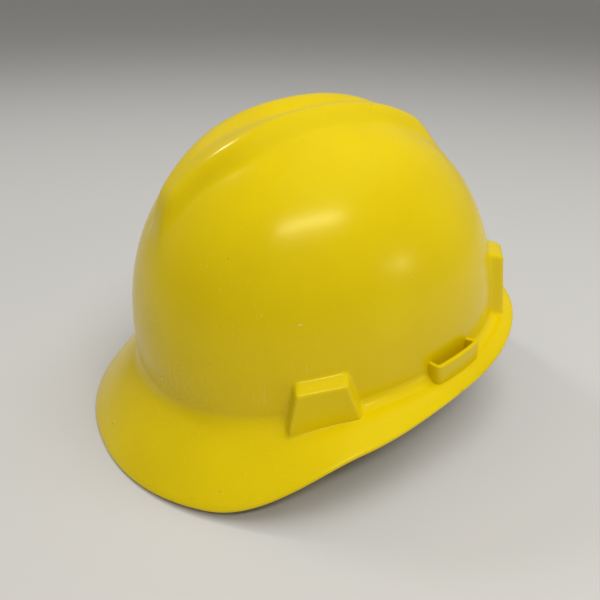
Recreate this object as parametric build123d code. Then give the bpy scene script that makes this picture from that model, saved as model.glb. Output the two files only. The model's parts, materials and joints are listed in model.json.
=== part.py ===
"""Cap-style hard hat: ridged plastic shell, four-point webbing suspension, headband and ratchet nape strap.

The hat is drawn in its own level frame: +X is the wearer's left, -Y the front, +Z up, and z = 0 is where the
crown meets the brim.  Directions round the hat are angles from the front, 90 at the left and 180 at the rear.
The last step tips it forward onto the front of its brim and its nape cradle, as it rests on a table, and puts
the bottom centre of its box at the origin.
"""

import math
import os

from build123d import *

os.makedirs("parts", exist_ok=True)

# ---------------------------------------------------------------- driving dimensions, millimetres and degrees
CROWN_HALF_WIDTH = 97.0        # outside of the crown at the brim line, side to side
CROWN_HALF_LENGTH = 119.5      # the same, front to rear
CROWN_HEIGHT = 135.5           # brim line to the top, without the ridges
CROWN_POWER = 2.2              # 2 would be an ellipsoid; a little more makes it fuller
SHELL_WALL = 2.4
EDGE_WALL = 3.0                # the brim thickens to this at its edge

BRIM_FRONT_WIDTH = 35.3        # out from the crown, at the front
BRIM_REAR_WIDTH = 14.4
BRIM_NARROWS = (34.0, 111.0)     # the front width gives way to the rear one between these angles
BRIM_FRONT_DROP = 31.6         # down from the brim line to the edge
BRIM_SIDE_DROP = 8.1
BRIM_REAR_DROP = 1.1
BRIM_LIFTS = (36.0, 70.0)       # the front drop gives way to the side one between these angles
BRIM_LEVELS = (100.0, 160.0)    # and that to the rear one between these
FILLET_UP = 5.0                 # the rounded corner between crown and brim: how far up the crown
FILLET_OUT = 5.0                # and how far out along the brim it reaches

RIDGE_HEIGHT = 6.5             # the pair of ridges along the crown
RIDGE_HALF_WIDTH = 14.0
RIDGE_NARROWEST = 17.0         # from the centre plane to a ridge's crest, where the two come closest
RIDGE_NARROWEST_Y = -30.0
RIDGE_SPREAD = 14.0            # how much further out the crest is 100 mm from there
RIDGE_FRONT = (-106.0, -84.0)  # a ridge rises between these, front to rear
RIDGE_REAR = (56.0, 84.0)      # and falls between these
TOP_RING = 6.0                 # radius of the ring where the shell's sections start
GATE_RADIUS = 8.0              # the moulding gate disc that closes that ring
SECTION_STEP = 6               # degrees between the sections of the shell

ANCHOR_ANGLES = (61.0, 150.0)  # the four anchor bosses stand at plus and minus these
BOSS_TOPS = (24.0, 47.0)       # the rear bosses are taller and narrower
BOSS_FEET = (44.0, 28.0)       # width of the front and rear bosses at the brim
BOSS_HEADS = (31.0, 24.0)      # and at the top
BOSS_DEPTH = 7.5               # out from the crown
BOSS_WALL = 2.2
BOSS_LEDGE = 2.5               # the top slopes down by this towards the face
BOSS_BOTTOM = -8.0
KEY_WIDTHS = (19.0, 13.0)      # of the suspension keys' tongues, front and rear
KEY_LIFTS = (0.0, 21.0)        # how far above the front keys the rear ones sit
LOOP_ANGLE = 110.0             # the accessory slot on each side
LOOP_LENGTH = 36.0
LOOP_DEPTH = 7.5
LOOP_TOP = 9.5
LOOP_WALL = 2.8
LOOP_CURVE = 125.0             # radius of the side of the crown, seen from above

BAND_HALF_WIDTH = 77.0         # headband, outside
BAND_FRONT = 98.0
BAND_THICK = 1.8
BAND_BOTTOM, BAND_TOP = -13.0, 17.0
BAND_REAR_Y = 40.0             # the band's side runs end here
PAD_THICK = 3.4

STRAP_WIDTH = 19.0             # crown webbing
STRAP_THICK = 1.2
STRAP_FOOT_Z = 14.0
STRAP_INSET = 22.5             # from the wall that a key's tongue bears on to the webbing's foot
STRAP_TOP_Z = 104.0
STRAP_GAP = 0.8                # between the two straps where they cross
STRAP_FULLNESS = 0.92          # 1 would make each side of a strap's arch a quarter ellipse
PAD_RADIUS = 24.0

NAPE_CENTRE = (0.0, 42.0, 2.0)  # the nape arms turn about an axis through here
NAPE_DROP = 24.0                # and the whole nape assembly slopes down to the rear by this much
ARM_INNER, ARM_OUTER = 79.1, 80.9
ARM_HALF_HEIGHT = 9.0
ARM_WIDE_START = 33.0           # degrees from the rear: full height from here on
ARM_END = 84.0
GUIDE_HALF_HEIGHT = 10.8        # of the loops round an arm
CRADLE_INNER, CRADLE_OUTER = 73.4, 75.4
CRADLE_BOTTOM, CRADLE_TOP = -36.0, 14.0
CRADLE_HALF_ANGLE = 36.0
CASE_HALF_ANGLE = 22.0
CASE_HALF_HEIGHT = 16.0
GEAR_MODULE = 1.25
GEAR_TEETH = 8
GEAR_PITCH = GEAR_MODULE * GEAR_TEETH / 2
TOOTH_SHARE = 0.34              # of the pitch; the rest is the other tooth and play
TURRET_RADIUS = 15.0
TURRET_TOP = 88.4
KNOB_RADIUS = 16.5
KNOB_BASE, KNOB_TOP = 88.9, 105.0
KNOB_LOBES = 12

FIT = 0.3                       # clearance between neighbours that don't touch


# ---------------------------------------------------------------- helpers
def smooth(u):
    """0 to 1 with flat ends."""
    u = min(max(u, 0.0), 1.0)
    return u * u * (3 - 2 * u)


def between(span, value):
    """0 at the start of the span to 1 at its end."""
    return smooth((value - span[0]) / (span[1] - span[0]))


def radial(angle, radius, height=0.0):
    """A plane facing straight out of the crown at this angle: local x runs round the crown, local y is up.

    It stands as far from the crown's outside as this radius is more than the crown's own.
    """
    a = math.radians(angle)
    reach = plan_radius(angle)
    x, y = reach * math.sin(a), -reach * math.cos(a)
    nx = math.copysign((abs(x) / CROWN_HALF_WIDTH) ** (CROWN_POWER - 1) / CROWN_HALF_WIDTH, x)
    ny = math.copysign((abs(y) / CROWN_HALF_LENGTH) ** (CROWN_POWER - 1) / CROWN_HALF_LENGTH, y)
    size = math.hypot(nx, ny)
    nx, ny = nx / size, ny / size
    return Plane(origin=(x + (radius - reach) * nx, y + (radius - reach) * ny, height),
                 x_dir=(-ny, nx, 0), z_dir=(nx, ny, 0))


def upright(angle):
    """The vertical plane through the crown axis at this angle: local x is outward, local y is up."""
    a = math.radians(angle)
    return Plane(origin=(0, 0, 0), x_dir=(math.sin(a), -math.cos(a), 0), z_dir=(-math.cos(a), -math.sin(a), 0))


def slab(angle, r0, r1, width, z0, z1):
    """A block that faces out of the crown, from radius r0 to r1."""
    return extrude(radial(angle, r0, (z0 + z1) / 2) * Rectangle(width, z1 - z0), r1 - r0)


def sector(r0, r1, z0, z1, a0, a1):
    """A curved plate round the local Z axis; angles run from +Y towards +X."""
    def at(radius, angle):
        a = math.radians(angle)
        return (radius * math.sin(a), radius * math.cos(a))
    mid = (a0 + a1) / 2
    outline = (ThreePointArc(at(r1, a0), at(r1, mid), at(r1, a1)) + Line(at(r1, a1), at(r0, a1))
               + ThreePointArc(at(r0, a1), at(r0, mid), at(r0, a0)) + Line(at(r0, a0), at(r1, a0)))
    return Pos(0, 0, z0) * extrude(make_face(outline), z1 - z0)


NAPE = Plane(origin=NAPE_CENTRE, x_dir=(1, 0, 0),
             z_dir=(0, math.sin(math.radians(NAPE_DROP)), math.cos(math.radians(NAPE_DROP))))
AXLE = Plane(origin=(0, 0, 0), x_dir=(1, 0, 0), z_dir=(0, 1, 0))


def on_axle(radius, w0, w1):
    """A disc on the ratchet's axle, which points rearward from the nape centre, from w0 to w1 along it."""
    return AXLE * (Pos(0, 0, w0) * extrude(Circle(radius), w1 - w0))


# ---------------------------------------------------------------- the shell's surface
def plan_radius(angle):
    """Crown radius at the brim line, in this direction."""
    a = math.radians(angle)
    across = abs(math.sin(a) / CROWN_HALF_WIDTH) ** CROWN_POWER
    along = abs(math.cos(a) / CROWN_HALF_LENGTH) ** CROWN_POWER
    return (across + along) ** (-1 / CROWN_POWER)


def brim_width(angle):
    return BRIM_REAR_WIDTH + (BRIM_FRONT_WIDTH - BRIM_REAR_WIDTH) * (1 - between(BRIM_NARROWS, angle))


def brim_drop(angle):
    side = (BRIM_SIDE_DROP - BRIM_REAR_DROP) * (1 - between(BRIM_LEVELS, angle))
    front = (BRIM_FRONT_DROP - BRIM_SIDE_DROP) * (1 - between(BRIM_LIFTS, angle))
    return BRIM_REAR_DROP + side + front


def ridge(x, y):
    """How far the ridges stand off the crown here."""
    crest = RIDGE_NARROWEST + RIDGE_SPREAD * ((y - RIDGE_NARROWEST_Y) / 100) ** 2
    rise, fall = between(RIDGE_FRONT, y), between(RIDGE_REAR, y)
    off_crest = (abs(x) - crest) / RIDGE_HALF_WIDTH
    clear_of_top = smooth((math.hypot(x, y) - GATE_RADIUS) / 10)
    return RIDGE_HEIGHT * rise * (1 - fall) * max(1 - off_crest ** 2, 0) ** 2 * clear_of_top


def crown_point(reach, t):
    return (reach * math.cos(t) ** (2 / CROWN_POWER), CROWN_HEIGHT * math.sin(t) ** (2 / CROWN_POWER))


def shell_profile(angle):
    """Outside of the shell in one upright plane, top ring to brim edge, as (radius, height)."""
    reach = plan_radius(angle)
    t_top = math.acos((TOP_RING / reach) ** (CROWN_POWER / 2))
    t_foot = math.asin((FILLET_UP / CROWN_HEIGHT) ** (CROWN_POWER / 2))
    steps = 18
    points = [crown_point(reach, t_top + (t_foot - t_top) * i / steps) for i in range(steps + 1)]
    width, drop = brim_width(angle), brim_drop(angle)
    slope = math.hypot(width, drop)
    out, down = width / slope, drop / slope
    start, corner, end = points[-1], (reach, 0.5), (reach + FILLET_OUT * out, -FILLET_OUT * down)
    for u in (1 / 3, 2 / 3):
        points.append(tuple((1 - u) ** 2 * start[k] + 2 * u * (1 - u) * corner[k] + u * u * end[k] for k in (0, 1)))
    for u in (0, 1 / 3, 2 / 3, 1):
        crowned = 4.8 * u * (1 - u)
        points.append((end[0] + (reach + width - end[0]) * u + down * crowned,
                       end[1] + (-drop - end[1]) * u + out * crowned))
    return points


def shell_section(angle):
    """Closed section of the shell wall in one upright plane."""
    profile = shell_profile(angle)
    a = math.radians(angle)
    outside, inside = [], []
    last = len(profile) - 1
    for i, (r, z) in enumerate(profile):
        (r0, z0), (r1, z1) = profile[max(i - 1, 0)], profile[min(i + 1, last)]
        run = math.hypot(r1 - r0, z1 - z0)
        nr, nz = (z0 - z1) / run, (r1 - r0) / run
        lift = ridge(r * math.sin(a), -r * math.cos(a)) if z > 50 else 0.0
        wall = EDGE_WALL if i == last else SHELL_WALL
        outside.append((r + lift * nr, z + lift * nz))
        inside.append((r + (lift - wall) * nr, z + (lift - wall) * nz))
    inside[0] = (outside[0][0], outside[0][1] - SHELL_WALL)
    wire = Wire([Edge.make_spline([Vector(*p) for p in outside]),
                 Edge.make_line(outside[-1], inside[-1]),
                 Edge.make_spline([Vector(*p) for p in reversed(inside)]),
                 Edge.make_line(inside[0], outside[0])])
    return upright(angle) * wire


def make_shell():
    """Two mirrored halves, the gate that closes the top, and the bosses and slots of both sides."""
    half = Solid.make_loft([shell_section(a) for a in range(0, 181, SECTION_STEP)])
    gate = Pos(0, 0, CROWN_HEIGHT - SHELL_WALL - 0.6) * extrude(Circle(GATE_RADIUS), SHELL_WALL + 1.1)
    left = [boss(*sizes) for sizes in zip(ANCHOR_ANGLES, BOSS_TOPS, BOSS_FEET, BOSS_HEADS)]
    left.append(loop(LOOP_ANGLE))
    raised, hollows = zip(*left)
    raised += tuple(shape.mirror(Plane.YZ) for shape in raised)
    hollows += tuple(shape.mirror(Plane.YZ) for shape in hollows)
    return (half + half.mirror(Plane.YZ)) + [gate, *raised] - list(hollows)


def wedge(angle, r0, r1, foot, head, z0, z1, lean):
    """A block outward from the crown that narrows upward and towards its outer face."""
    def face(radius, pinch, top):
        outline = Polyline((-foot / 2 + pinch, z0), (foot / 2 - pinch, z0), (head / 2 - pinch, top),
                           (pinch - head / 2, top), close=True)
        return radial(angle, radius) * make_face(outline)
    return Solid.make_loft([face(r0, 0, z1).wire(), face(r1, lean / 2, z1 - lean).wire()])


def boss(angle, top, foot, head):
    """A boss and its hollow, open below, that a suspension key plugs into."""
    reach = plan_radius(angle)
    face = reach + BOSS_DEPTH
    block = wedge(angle, reach - 5, face, foot, head, BOSS_BOTTOM, top, BOSS_LEDGE)
    pocket = wedge(angle, reach - 8, face - BOSS_WALL, foot - 2 * BOSS_WALL, head - 2 * BOSS_WALL,
                   -25, top - BOSS_WALL, BOSS_LEDGE)
    return block, pocket


def loop(angle):
    """An open rib on the brim, and the slot through the brim behind it, for earmuffs or a face shield."""
    centre = radial(angle, plan_radius(angle) - LOOP_CURVE)
    turned = Plane(origin=centre.origin, x_dir=centre.x_dir, z_dir=(0, 0, 1))
    facing = 180 if turned.y_dir.dot(centre.z_dir) < 0 else 0
    half_angle = math.degrees(LOOP_LENGTH / 2 / LOOP_CURVE)
    wall_angle = math.degrees(LOOP_WALL / LOOP_CURVE)

    def arc(r0, r1, z0, z1, half):
        return turned * (Rot(0, 0, facing) * sector(LOOP_CURVE + r0, LOOP_CURVE + r1, z0, z1, -half, half))
    rib = arc(-1.2, LOOP_DEPTH, -7, LOOP_TOP, half_angle)
    slot = arc(0.9, LOOP_DEPTH - LOOP_WALL, -20, LOOP_TOP + 1, half_angle - wall_angle)
    return rib, slot


# ---------------------------------------------------------------- suspension
def key_place(angle):
    """Radius of the pocket's outer wall, inside a boss: the key's tongue points up behind it."""
    return plan_radius(abs(angle)) + BOSS_DEPTH - BOSS_WALL


def key_lift(angle):
    return KEY_LIFTS[abs(angle) > 90]


def make_key(angle):
    """Plastic key: a tongue up into the boss, a foot, and a slotted inner plate for webbing and hanger."""
    out = key_place(angle)
    width = KEY_WIDTHS[abs(angle) > 90]
    tongue = slab(angle, out - 5.2, out - 2.6, width, -9, 18.5)
    barb = slab(angle, out - 2.7, out - FIT - 0.6, width - 6, 10, 15)
    foot = slab(angle, out - 16.5, out - 2.6, width, -12, -8.6)
    plate = slab(angle, out - 16.5, out - 14.1, 28, -12, 20)
    strap_slot = slab(angle, out - 20, out - 10, STRAP_WIDTH + 1.6, 11.2, 15.6)
    hanger_slot = slab(angle, out - 20, out - 10, 15, -5, -1.4)
    return Pos(0, 0, key_lift(angle)) * (tongue + barb + foot + plate - strap_slot - hanger_slot)


def key_loop(angle):
    """Where the webbing leaves a key: a point on the hat's inside, and its height."""
    return radial(angle, key_place(angle) - STRAP_INSET).origin, STRAP_FOOT_Z + key_lift(angle)


class Arch:
    """Upright plane and line of one crown strap, from a front key over the head to the opposite rear key.

    Its top is where it crosses the hat's middle plane.
    """

    def __init__(self, front_angle, rear_angle, top_z):
        start, self.front_z = key_loop(front_angle)
        end, self.rear_z = key_loop(rear_angle)
        middle = start + (end - start) * (start.X / (start.X - end.X))
        self.front_reach, self.rear_reach = (middle - start).length, (end - middle).length
        self.top_z = top_z
        along = (end - start).normalized()
        self.plane = Plane(origin=middle, x_dir=along, z_dir=along.cross(Vector(0, 0, 1)))

    def line(self, t):
        """A point on the line: t runs from 0 at the front key to 180 at the rear one."""
        a = math.radians(t)
        foot_z, reach = (self.front_z, self.front_reach) if t < 90 else (self.rear_z, self.rear_reach)
        s = -math.copysign(abs(math.cos(a)) ** STRAP_FULLNESS, math.cos(a)) * reach
        return s, foot_z + (self.top_z - foot_z) * abs(math.sin(a)) ** STRAP_FULLNESS

    def edge(self, t0, t1, offset):
        """A smooth edge beside the line; a positive offset is outward."""
        steps = max(round((t1 - t0) / 7), 3)
        points = []
        for i in range(steps + 1):
            t = t0 + (t1 - t0) * i / steps
            (s, z), (s0, z0), (s1, z1) = self.line(t), self.line(max(t - 0.5, 0)), self.line(min(t + 0.5, 180))
            run = math.hypot(s1 - s0, z1 - z0)
            points.append(Vector(s - offset * (z1 - z0) / run, z + offset * (s1 - s0) / run))
        return Edge.make_spline(points)

    def strip(self, edges, width):
        """The strip whose long sides are these edges, joined end to end by straight lines."""
        ends = [(edge @ 0, edge @ 1) for edge in edges]
        closed = list(edges)
        for (_, last), (first, _) in zip(ends, ends[1:] + ends[:1]):
            closed.append(Edge.make_line(last, first))
        return extrude(self.plane * Face(Wire(closed)), width / 2, both=True)


def backward(edge):
    """The same edge run from its other end."""
    return Edge.make_spline([edge @ (1 - i / 8) for i in range(9)])


def make_crown_strap(front_angle, rear_angle, top_z):
    """One webbing strap, double where its ends turn back, with a flat turn through the slot of each key."""
    arch = Arch(front_angle, rear_angle, top_z)
    strap = arch.strip([arch.edge(0, 180, STRAP_THICK), backward(arch.edge(156, 180, -STRAP_THICK)),
                        backward(arch.edge(24, 156, 0)), backward(arch.edge(0, 24, -STRAP_THICK))], STRAP_WIDTH)
    for angle in (front_angle, rear_angle):
        turn = slab(angle, key_place(angle) - STRAP_INSET - 1.6, key_place(angle) - 13.4, STRAP_WIDTH, 12.6, 14.4)
        strap += Pos(0, 0, key_lift(angle)) * turn
    return strap


def make_stitches():
    """Bar tacks that hold the turned-back ends of the webbing."""
    tacks = []
    for ends in crown_straps():
        arch = Arch(*ends)
        for t in (12, 20, 158.8, 166.8):
            edges = [arch.edge(t, t + 1.2, STRAP_THICK + 0.5), backward(arch.edge(t, t + 1.2, STRAP_THICK + 0.02))]
            tacks.append(arch.strip(edges, STRAP_WIDTH - 5))
    return Compound(tacks)


def crown_straps():
    """Front angle, rear angle and top height of the two crossing straps."""
    front_angle, rear_angle = ANCHOR_ANGLES
    return ((front_angle, -rear_angle, STRAP_TOP_Z),
            (-front_angle, rear_angle, STRAP_TOP_Z - STRAP_THICK - STRAP_GAP))


def make_crown_pad():
    """Foam disc under the crossing of the straps."""
    crossing = Arch(*crown_straps()[1]).plane.origin
    return Pos(0, crossing.Y, STRAP_TOP_Z - 9.5) * extrude(Circle(PAD_RADIUS), 4.0)


def band_outline(inset):
    """The headband's outline, inset from its outside: half an ellipse in front, straight sides, open behind."""
    half, front = BAND_HALF_WIDTH - inset, BAND_FRONT - inset
    curve = EllipticalCenterArc((0, 0), half, front, start_angle=180, arc_size=180)
    return curve, half


def make_headband():
    outer, half = band_outline(0)
    inner, half_in = band_outline(BAND_THICK)
    outline = (outer + Line((half, 0), (half, BAND_REAR_Y)) + Line((half, BAND_REAR_Y), (half_in, BAND_REAR_Y))
               + Line((half_in, BAND_REAR_Y), (half_in, 0)) + inner
               + Line((-half_in, 0), (-half_in, BAND_REAR_Y)) + Line((-half_in, BAND_REAR_Y), (-half, BAND_REAR_Y))
               + Line((-half, BAND_REAR_Y), (-half, 0)))
    band = Pos(0, 0, BAND_BOTTOM) * extrude(make_face(outline), BAND_TOP - BAND_BOTTOM)
    for x in (-1, 1):
        for y in (6, 18):
            band -= Pos(x * BAND_HALF_WIDTH, y, 9) * Box(12, 7, 4)
    return band - rivets(2.0)


def make_brow_pad():
    """Foam sweatband inside the front of the headband."""
    outer, half = band_outline(BAND_THICK + FIT)
    inner, half_in = band_outline(BAND_THICK + FIT + PAD_THICK)
    outline = outer + Line((half, 0), (half_in, 0)) + inner + Line((-half_in, 0), (-half, 0))
    return Pos(0, 0, BAND_BOTTOM - 1) * extrude(make_face(outline), 26)


def around_band(gap, z0, z1):
    """Everything within this gap of the headband's curved front, between two heights."""
    return Pos(0, 0, z0) * extrude(Ellipse(BAND_HALF_WIDTH + gap, BAND_FRONT + gap), z1 - z0)


def make_front_hanger(angle):
    """A flat plastic arm from the headband out to a front key; its tip hooks into the key's lower slot."""
    tip = key_place(angle) - 14.1
    arm = slab(angle, tip - 20, tip, 14, -4.4, -2.0)
    lap = around_band(2.2, -10, -2.0) & slab(angle, tip - 20, tip, 14, -11, -1)
    return arm + lap - around_band(0.1, -12, 0)


def make_rear_hanger(side):
    """A flat arm from the outside of an arm guide back to the rear key, into the same kind of slot."""
    angle = ANCHOR_ANGLES[1]
    out = key_place(angle)

    def at(radius, along):
        point = radial(angle, radius).from_local_coords(Vector(along, 0, 0))
        return point.X, point.Y
    outline = Polyline((78.9, 23), (81.5, 23), (81.5, 46), at(out - 17.0, -6), at(out - 14.1, -6),
                       at(out - 14.1, 6), at(out - 20, 6), (78.9, 42), close=True)
    hanger = Pos(0, 0, key_lift(180) - 4.4) * extrude(make_face(outline), 2.4)
    return hanger if side > 0 else hanger.mirror(Plane.YZ)


# ---------------------------------------------------------------- nape assembly, drawn in the nape frame
def rivets(radius):
    """Pins across the headband's rear ends, which hold the arm guides."""
    pins = []
    for side in (-1, 1):
        for y in (26, 34):
            pin = Cylinder(radius, 6.0, rotation=(0, 90, 0))
            pins.append(Pos(side * (BAND_HALF_WIDTH - 0.1), y, 2) * pin)
    return Compound(pins)


def make_guide(side):
    """A curved plate riveted to the headband's end, with two loops that the nape arm slides through."""
    plate = sector(77.2, 78.7, -GUIDE_HALF_HEIGHT, GUIDE_HALF_HEIGHT, 61, 90.5)
    tab = Pos(77.95, -9.9, 0) * Box(1.5, 20.0, 2 * ARM_HALF_HEIGHT)
    pieces = [tab]
    opening = ARM_HALF_HEIGHT + 0.4
    for angle in (63, 74):
        for z0, z1 in ((-GUIDE_HALF_HEIGHT, -opening), (opening, GUIDE_HALF_HEIGHT)):
            pieces.append(sector(78.2, 82.4, z0, z1, angle, angle + 4))
        pieces.append(sector(81.2, 82.4, -GUIDE_HALF_HEIGHT, GUIDE_HALF_HEIGHT, angle, angle + 4))
    guide = plate + pieces
    return guide if side > 0 else guide.mirror(Plane.YZ)


def make_arm(side):
    """A nape arm: full height beside the head, narrowing to a toothed rack that passes the pinion."""
    up = 1 if side > 0 else -1
    root = GEAR_PITCH + 1.25 * GEAR_MODULE
    low, high = sorted((up * root, up * (root + 4.6)))
    arm = sector(ARM_INNER, ARM_OUTER, -ARM_HALF_HEIGHT, ARM_HALF_HEIGHT, ARM_WIDE_START, ARM_END)
    arm += sector(ARM_INNER, ARM_OUTER, low, high, -11, ARM_WIDE_START + 1)
    step = math.degrees(math.pi * GEAR_MODULE / ((ARM_INNER + ARM_OUTER) / 2))
    for i in range(-3, 9):
        arm += rack_tooth(i * step, root, up)
    return arm if side > 0 else arm.mirror(Plane.YZ)


def rack_tooth(angle, root, up):
    a = math.radians(angle)
    face = Plane(origin=(ARM_INNER * math.sin(a), ARM_INNER * math.cos(a), 0),
                 x_dir=(-math.cos(a), math.sin(a), 0), z_dir=(math.sin(a), math.cos(a), 0))
    pitch = math.pi * GEAR_MODULE
    lean = math.tan(math.radians(20))
    tip = GEAR_PITCH - 0.8 * GEAR_MODULE
    base = TOOTH_SHARE * pitch / 2 + (root - GEAR_PITCH) * lean
    point = TOOTH_SHARE * pitch / 2 - (GEAR_PITCH - tip) * lean
    outline = Polyline((-base, up * (root + 0.3)), (-base, up * root), (-point, up * tip), (point, up * tip),
                       (base, up * root), (base, up * (root + 0.3)), close=True)
    return extrude(face * make_face(outline), ARM_OUTER - ARM_INNER - 0.05)


def make_pinion():
    """Eight-tooth pinion on the knob's stem; a tooth stands midway between rack teeth at rest."""
    pitch = math.pi * GEAR_MODULE
    lean = math.tan(math.radians(20))
    tip, root = GEAR_PITCH + 0.8 * GEAR_MODULE, GEAR_PITCH - 1.25 * GEAR_MODULE
    half = TOOTH_SHARE * pitch / 2
    gear = Circle(root)
    outline = Polyline((-half - 1.2 * GEAR_MODULE * lean, root - 0.6), (-half, GEAR_PITCH),
                       (0.8 * GEAR_MODULE * lean - half, tip), (half - 0.8 * GEAR_MODULE * lean, tip),
                       (half, GEAR_PITCH), (half + 1.2 * GEAR_MODULE * lean, root - 0.6), close=True)
    for i in range(GEAR_TEETH):
        gear += Rot(0, 0, (i + 0.5) * 360 / GEAR_TEETH) * make_face(outline)
    gear = AXLE * (Pos(0, 0, ARM_INNER + 0.1) * extrude(gear, 1.6))
    stem = on_axle(3.4, 80.6, KNOB_BASE + 2)
    foot = on_axle(2.5, 77.4, 79.4)
    return gear + stem + foot - on_axle(1.5, 79.0, 95)


def make_case_base():
    """Inner half of the ratchet case, with the blind bearing for the pinion's foot."""
    base = sector(75.7, 78.7, -CASE_HALF_HEIGHT, CASE_HALF_HEIGHT, -CASE_HALF_ANGLE, CASE_HALF_ANGLE)
    for z in (-14.4, 14.4):
        base += sector(78.5, 81.1, z - 1.6, z + 1.6, -CASE_HALF_ANGLE, CASE_HALF_ANGLE)
    return base - on_axle(2.55, 77.2, 80) - case_screws(1.25)


def make_case_cover():
    """Outer half of the ratchet case, with the round turret under the knob."""
    cover = sector(81.3, 84.0, -CASE_HALF_HEIGHT, CASE_HALF_HEIGHT, -CASE_HALF_ANGLE, CASE_HALF_ANGLE)
    cover += on_axle(TURRET_RADIUS, 81.6, TURRET_TOP)
    cover -= on_axle(TURRET_RADIUS - 2, 84.4, TURRET_TOP + 1)
    return cover - on_axle(3.5, 80, 90) - case_screws(1.25)


def case_screws(radius, heads=False):
    """Two small screws through the case, one each side of the turret."""
    screws = []
    for side in (-1, 1):
        turn = Rot(0, 0, side * 17.0)
        screws.append(turn * (Pos(0, 0, 13.7) * on_axle(radius, 76.4, 84.2)))
        if heads:
            screws[-1] += turn * (Pos(0, 0, 13.7) * on_axle(2.2, 84.0, 85.2))
    return Compound(screws)


def make_detent_ring():
    """Ring of small inward teeth pressed into the turret."""
    ring = Circle(TURRET_RADIUS - 2) - Circle(11.6)
    for i in range(24):
        ring += Rot(0, 0, i * 15) * Pos(11.4, 0) * RegularPolygon(0.9, 3)
    return AXLE * (Pos(0, 0, 84.4) * extrude(ring, 2.6))


def make_detent_spring():
    """Three-armed click spring that turns with the knob inside the ring."""
    spring = Circle(6.2) - Circle(3.4)
    for i in range(3):
        arm = Rot(0, 0, i * 120) * Pos(7.6, 0) * Rectangle(4.0, 2.0)
        spring += arm
    return AXLE * (Pos(0, 0, 84.8) * extrude(spring, 1.8))


def make_knob():
    """Lobed hand knob with a skirt over the turret."""
    outline = Circle(KNOB_RADIUS)
    for i in range(KNOB_LOBES):
        outline -= Rot(0, 0, (i + 0.5) * 360 / KNOB_LOBES) * Pos(KNOB_RADIUS + 2.2, 0) * Circle(3.4)
    grip = AXLE * (Pos(0, 0, KNOB_BASE + 1.6) * extrude(outline, KNOB_TOP - KNOB_BASE - 1.6))
    knob = grip + on_axle(KNOB_RADIUS + 1.0, KNOB_BASE, KNOB_BASE + 1.8)
    knob -= on_axle(6.0, KNOB_TOP - 4, KNOB_TOP + 1)
    return knob - on_axle(3.4, KNOB_BASE - 1, KNOB_BASE + 2) - on_axle(1.5, KNOB_BASE, KNOB_TOP)


def make_knob_screw():
    return on_axle(4.2, KNOB_TOP - 4, KNOB_TOP - 2) + on_axle(1.5, 80.0, KNOB_TOP - 3.9)


def make_cradle():
    """Plastic nape cradle on the inside of the case: a tall curved plate with windows over the lower strap."""
    cradle = sector(CRADLE_INNER, CRADLE_OUTER, CRADLE_BOTTOM, CRADLE_TOP, -CRADLE_HALF_ANGLE, CRADLE_HALF_ANGLE)
    for a0, a1 in ((-30, -17), (-13, 13), (17, 30)):
        cradle -= sector(CRADLE_INNER - 1, CRADLE_OUTER + 1, -25, -19, a0, a1)
    return cradle


def make_nape_pad():
    """Foam pad on the cradle's inner face."""
    return sector(CRADLE_INNER - FIT - PAD_THICK, CRADLE_INNER - FIT, CRADLE_BOTTOM + 3, CRADLE_TOP - 3,
                  -CRADLE_HALF_ANGLE + 2, CRADLE_HALF_ANGLE - 2)


# ---------------------------------------------------------------- assembly
def in_nape(shape):
    return NAPE * shape


front, rear = ANCHOR_ANGLES
parts = {
    "shell": make_shell(),
    "crown_strap_over": make_crown_strap(*crown_straps()[0]),
    "crown_strap_under": make_crown_strap(*crown_straps()[1]),
    "strap_stitches": make_stitches(),
    "crown_pad": make_crown_pad(),
    "headband": make_headband(),
    "brow_pad": make_brow_pad(),
    "guide_rivets": rivets(1.98),
    "left_arm_guide": in_nape(make_guide(1)) - rivets(2.0),
    "right_arm_guide": in_nape(make_guide(-1)) - rivets(2.0),
    "left_nape_arm": in_nape(make_arm(1)),
    "right_nape_arm": in_nape(make_arm(-1)),
    "nape_cradle": in_nape(make_cradle()),
    "nape_pad": in_nape(make_nape_pad()),
    "ratchet_case_base": in_nape(make_case_base()),
    "ratchet_case_cover": in_nape(make_case_cover()),
    "ratchet_case_screws": in_nape(case_screws(1.2, heads=True)),
    "ratchet_detent_ring": in_nape(make_detent_ring()),
    "ratchet_click_spring": in_nape(make_detent_spring()),
    "ratchet_pinion": in_nape(make_pinion()),
    "ratchet_knob": in_nape(make_knob()),
    "ratchet_knob_screw": in_nape(make_knob_screw()),
}
for place, angle in (("front", front), ("rear", rear)):
    for hand, side in (("left", 1), ("right", -1)):
        parts[f"{place}_{hand}_key"] = make_key(side * angle)
        hanger = make_front_hanger(side * angle) if place == "front" else make_rear_hanger(side)
        parts[f"{place}_{hand}_hanger"] = hanger

brim_low = shell_section(0).edges().sort_by(Axis.Z)[0].bounding_box()
brim_y, brim_z = -(CROWN_HALF_LENGTH + BRIM_FRONT_WIDTH), brim_low.min.Z
cradle_low = NAPE.from_local_coords(Vector(0, CRADLE_OUTER, CRADLE_BOTTOM))
TILT = math.degrees(math.atan2(brim_z - cradle_low.Z, cradle_low.Y - brim_y))
tipped = {name: Rot(TILT, 0, 0) * part for name, part in parts.items()}
boxes = [part.bounding_box() for part in tipped.values()]
low_y, high_y = min(b.min.Y for b in boxes), max(b.max.Y for b in boxes)
SET_DOWN = Vector(0, -(low_y + high_y) / 2, -min(b.min.Z for b in boxes))
print("tilt", round(TILT, 3), "set down by", SET_DOWN, "length", round(high_y - low_y, 1))
for name, part in tipped.items():
    export_step(Pos(SET_DOWN) * part, f"parts/{name}.step")
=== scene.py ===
"""Looks of the cap-style hard hat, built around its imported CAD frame."""

import json
import math

import bmesh
import bpy
import numpy as np
from mathutils import Matrix, Vector


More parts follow.
